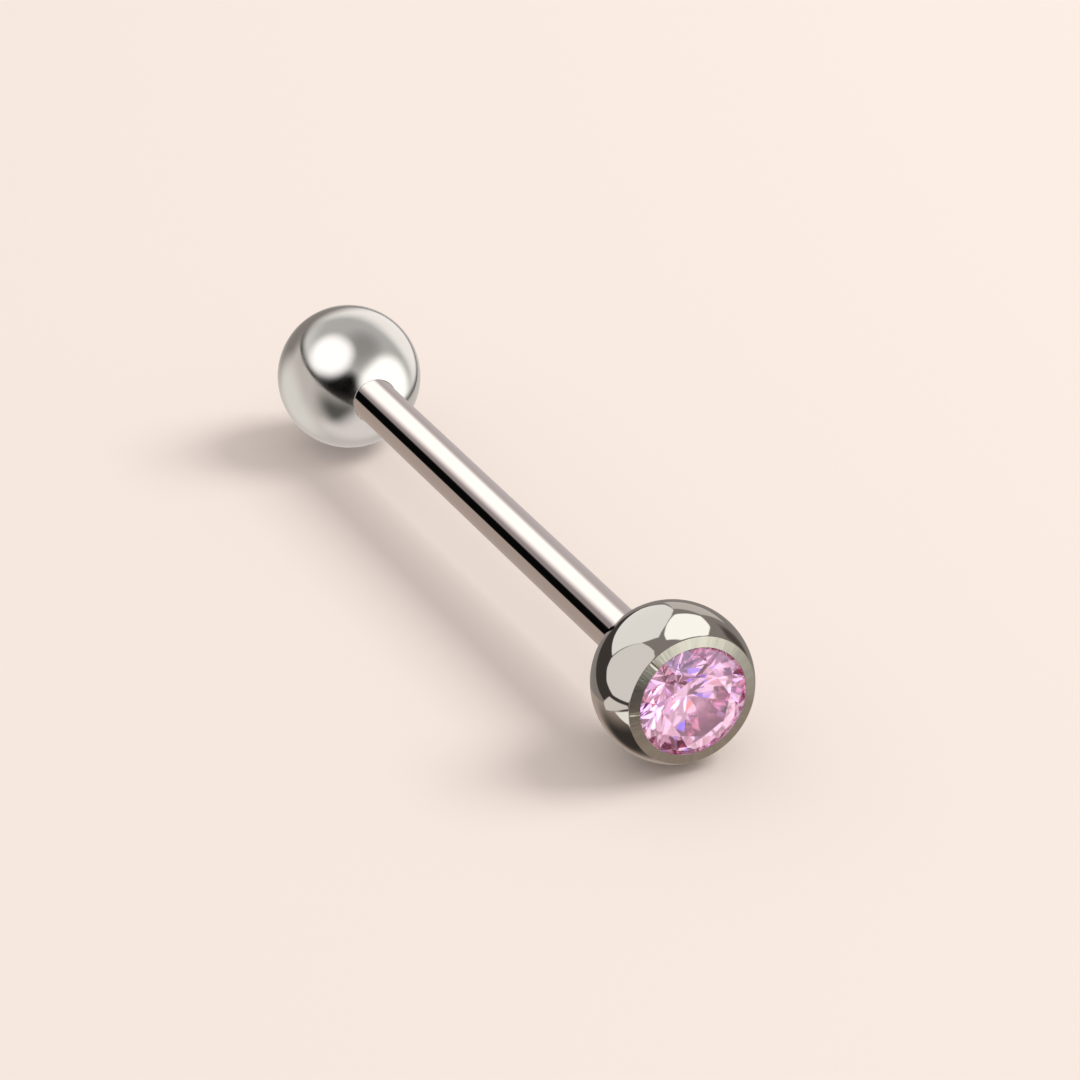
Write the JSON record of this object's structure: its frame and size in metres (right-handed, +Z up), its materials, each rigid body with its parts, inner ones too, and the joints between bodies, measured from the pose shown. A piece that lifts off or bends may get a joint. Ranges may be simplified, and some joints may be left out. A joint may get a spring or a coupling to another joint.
{
  "type": "tongue barbell",
  "caption": "Straight polished-steel tongue barbell: a slim bar with a screw-on ball at each end, one plain and one with a round faceted stone set flush in its face.",
  "frame": {"origin": "on the surface that the barbell lies on, under the middle of its whole length", "axes": "+X along the bar, out of the stone's face; +Z up from the surface; both balls rest on z = 0"},
  "size_m": [0.0314, 0.0052, 0.0052],
  "materials": {
    "post_steel": "polished surgical steel",
    "ball_steel": "polished surgical steel, the gem ball's rim satin",
    "pink_stone": "cut and polished pink cubic zirconia"
  },
  "bodies": {
    "bar": {"post": "post_steel"},
    "plain_end": {"plain_ball": "ball_steel"},
    "gem_end": {"gem_ball": "ball_steel", "stone": "pink_stone"}
  },
  "joints": [
    {"name": "plain_ball_unscrew", "type": "slide", "parent": "bar", "child": "plain_end", "axis": [-1, 0, 0], "range_m": [0, 0.01]},
    {"name": "gem_ball_unscrew", "type": "slide", "parent": "bar", "child": "gem_end", "axis": [1, 0, 0], "range_m": [0, 0.01]}
  ]
}
